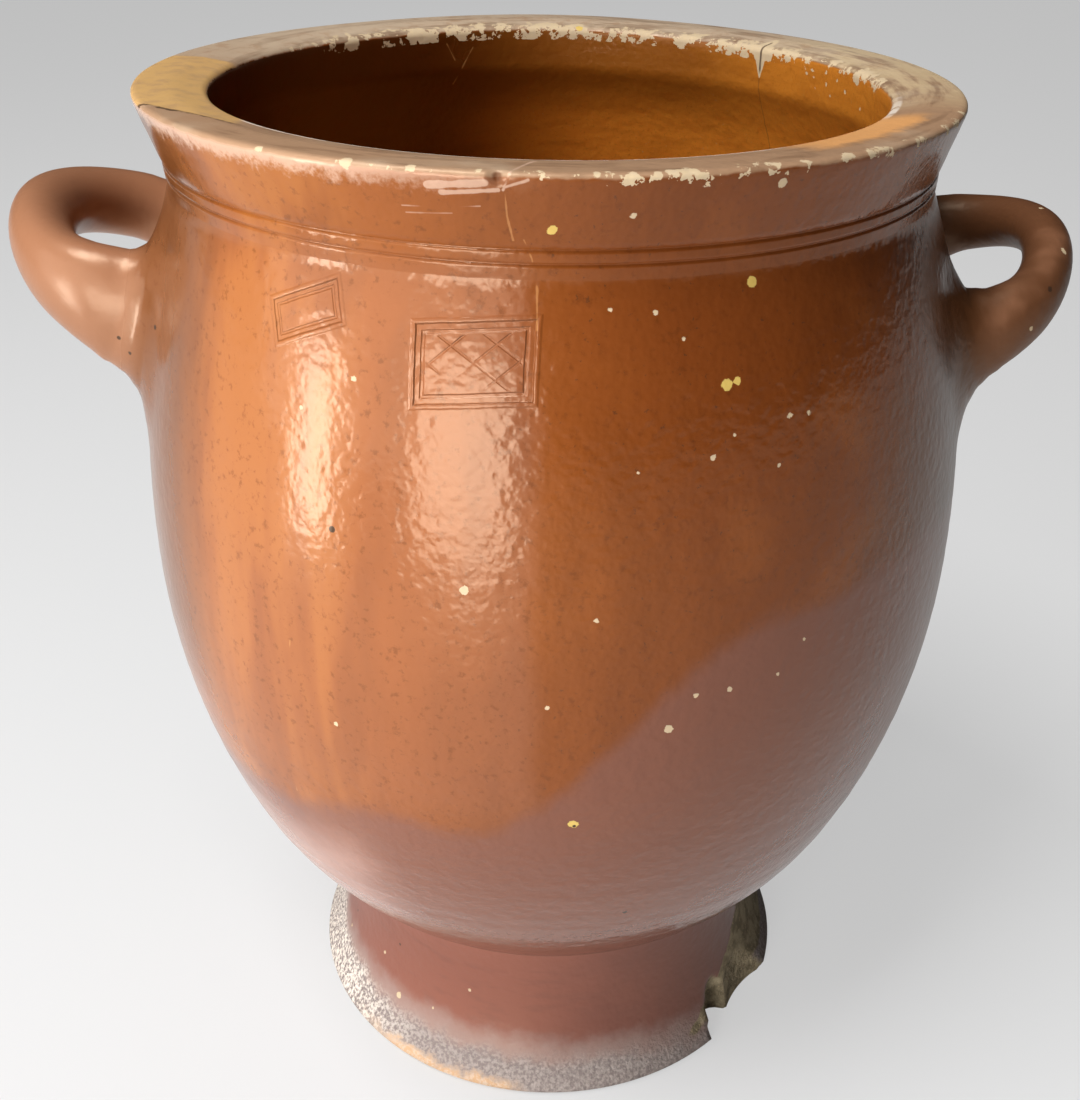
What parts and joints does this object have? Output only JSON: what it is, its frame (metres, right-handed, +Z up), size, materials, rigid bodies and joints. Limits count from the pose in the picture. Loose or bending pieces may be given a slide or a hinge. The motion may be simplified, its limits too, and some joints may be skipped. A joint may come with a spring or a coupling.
{
  "type": "confit pot",
  "caption": "Tall glazed stoneware confit pot with coiled ear handles, a thick flared rim and a pedestal foot, for keeping cooked meat under its own fat.",
  "frame": {"origin": "centre of the flat underside, on the ground and on the pot's turning axis", "axes": "+Z up along the turning axis, X through the handles with the thinner handle at +X, front at -Y"},
  "size_m": [0.4559, 0.3678, 0.469],
  "materials": {
    "stoneware_glaze": "glossy orange-brown glaze with orange-peel texture, worn to matt clay on the rim and round the base ring"
  },
  "bodies": {
    "root": {"confit_pot": "stoneware_glaze"}
  },
  "joints": []
}
